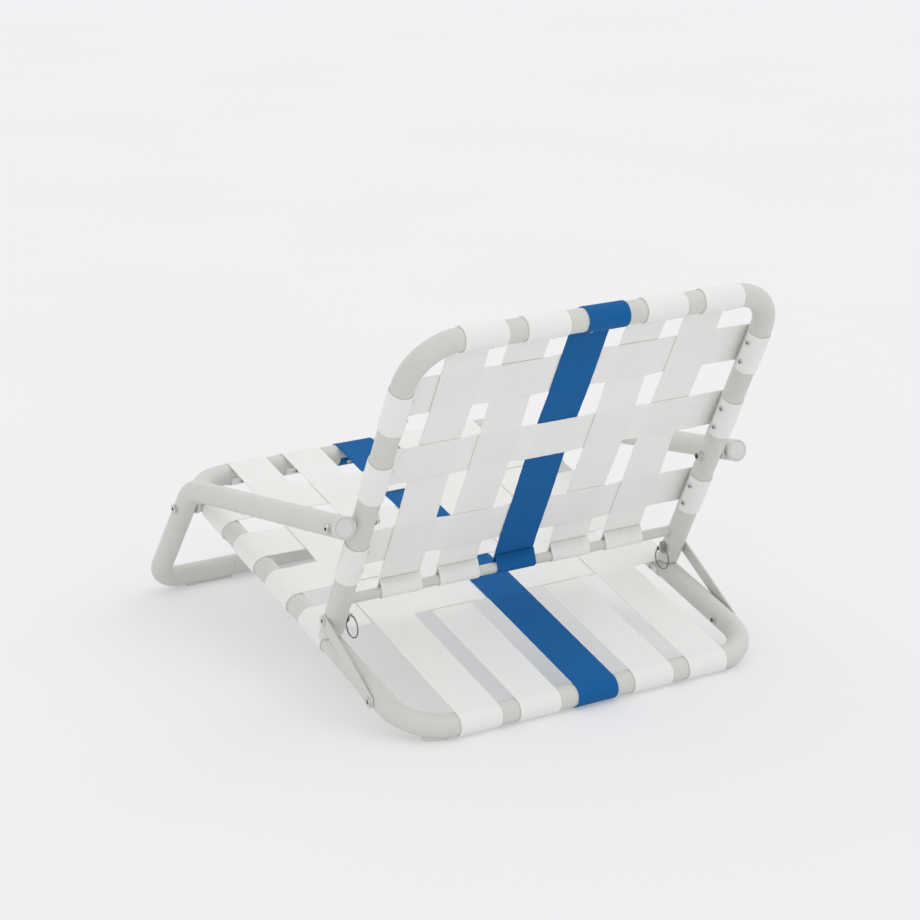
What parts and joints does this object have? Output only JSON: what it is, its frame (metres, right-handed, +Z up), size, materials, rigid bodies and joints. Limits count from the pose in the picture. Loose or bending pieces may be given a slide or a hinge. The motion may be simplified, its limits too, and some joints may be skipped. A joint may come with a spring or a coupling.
{
  "type": "folding beach chair",
  "caption": "Low folding beach chair: bent tube seat loop, reclined back, one-piece arm and leg frame, and woven webbing on four pivots a side.",
  "frame": {"origin": "on the floor, below the middle of the chair's box", "axes": "+X to the sitter's left, -Y to the front, +Z up"},
  "size_m": [0.6006, 0.6741, 0.4972],
  "materials": {
    "frame_paint": "satin powder coat, off-white",
    "webbing_white": "woven polypropylene webbing, off-white",
    "webbing_blue": "woven polypropylene webbing, blue",
    "steel": "plain zinc-plated steel",
    "plastic": "moulded, off-white"
  },
  "bodies": {
    "seat_frame": {"seat_tube_front": "frame_paint", "seat_tube_rear": "frame_paint", "seat_sleeves": "steel", "seat_glides": "plastic", "seat_strap_1": "webbing_white", "seat_strap_2": "webbing_white", "seat_strap_3": "webbing_blue", "seat_strap_4": "webbing_white", "seat_strap_5": "webbing_white", "seat_cross_1": "webbing_white", "seat_cross_2": "webbing_white", "seat_cross_3": "webbing_white", "seat_cross_4": "webbing_white", "seat_screws": "steel", "leg_bolts": "steel", "leg_nuts": "steel", "leg_spacers": "plastic", "link_rivets": "steel", "link_burrs": "steel"},
    "side_links": {"link_left": "frame_paint", "link_right": "frame_paint"},
    "back": {"back_tube": "frame_paint", "back_rod": "frame_paint", "back_feet": "plastic", "back_strap_1": "webbing_white", "back_strap_2": "webbing_white", "back_strap_3": "webbing_blue", "back_strap_4": "webbing_white", "back_strap_5": "webbing_white", "back_cross_1": "webbing_white", "back_cross_2": "webbing_white", "back_cross_3": "webbing_white", "back_screws": "steel", "back_studs": "steel", "back_nuts": "steel", "pin_washers": "steel"},
    "arm_frame": {"arm_tube": "frame_paint", "arm_end_caps": "plastic", "arm_glides": "plastic", "arm_studs": "steel"},
    "pin_left": {"link_pin_left": "steel", "pin_ring_left": "steel"},
    "pin_right": {"link_pin_right": "steel", "pin_ring_right": "steel"}
  },
  "joints": [
    {"name": "link_swing", "type": "hinge", "parent": "seat_frame", "child": "side_links", "pos_m": [0, 0.23463, 0.03453], "axis": [1, 0, 0], "range_deg": [-146.73, 0]},
    {"name": "back_fold", "type": "hinge", "parent": "side_links", "child": "back", "pos_m": [0, 0.12547, 0.10011], "axis": [1, 0, 0], "range_deg": [0, 249.78]},
    {"name": "arm_fold", "type": "hinge", "parent": "seat_frame", "child": "arm_frame", "pos_m": [0, -0.22146, 0.14909], "axis": [1, 0, 0], "range_deg": [-22.12, 0]},
    {"name": "pin_turn_left", "type": "hinge", "parent": "back", "child": "pin_left", "pos_m": [0.25, 0.12547, 0.10011], "axis": [1, 0, 0], "range_deg": [0, 60]},
    {"name": "pin_turn_right", "type": "hinge", "parent": "back", "child": "pin_right", "pos_m": [-0.25, 0.12547, 0.10011], "axis": [1, 0, 0], "range_deg": [0, 60]}
  ],
  "couplings": [
    {"joint": "link_swing", "follows": "back_fold", "ratio": -0.58724},
    {"joint": "arm_fold", "follows": "back_fold", "ratio": -0.088344}
  ]
}
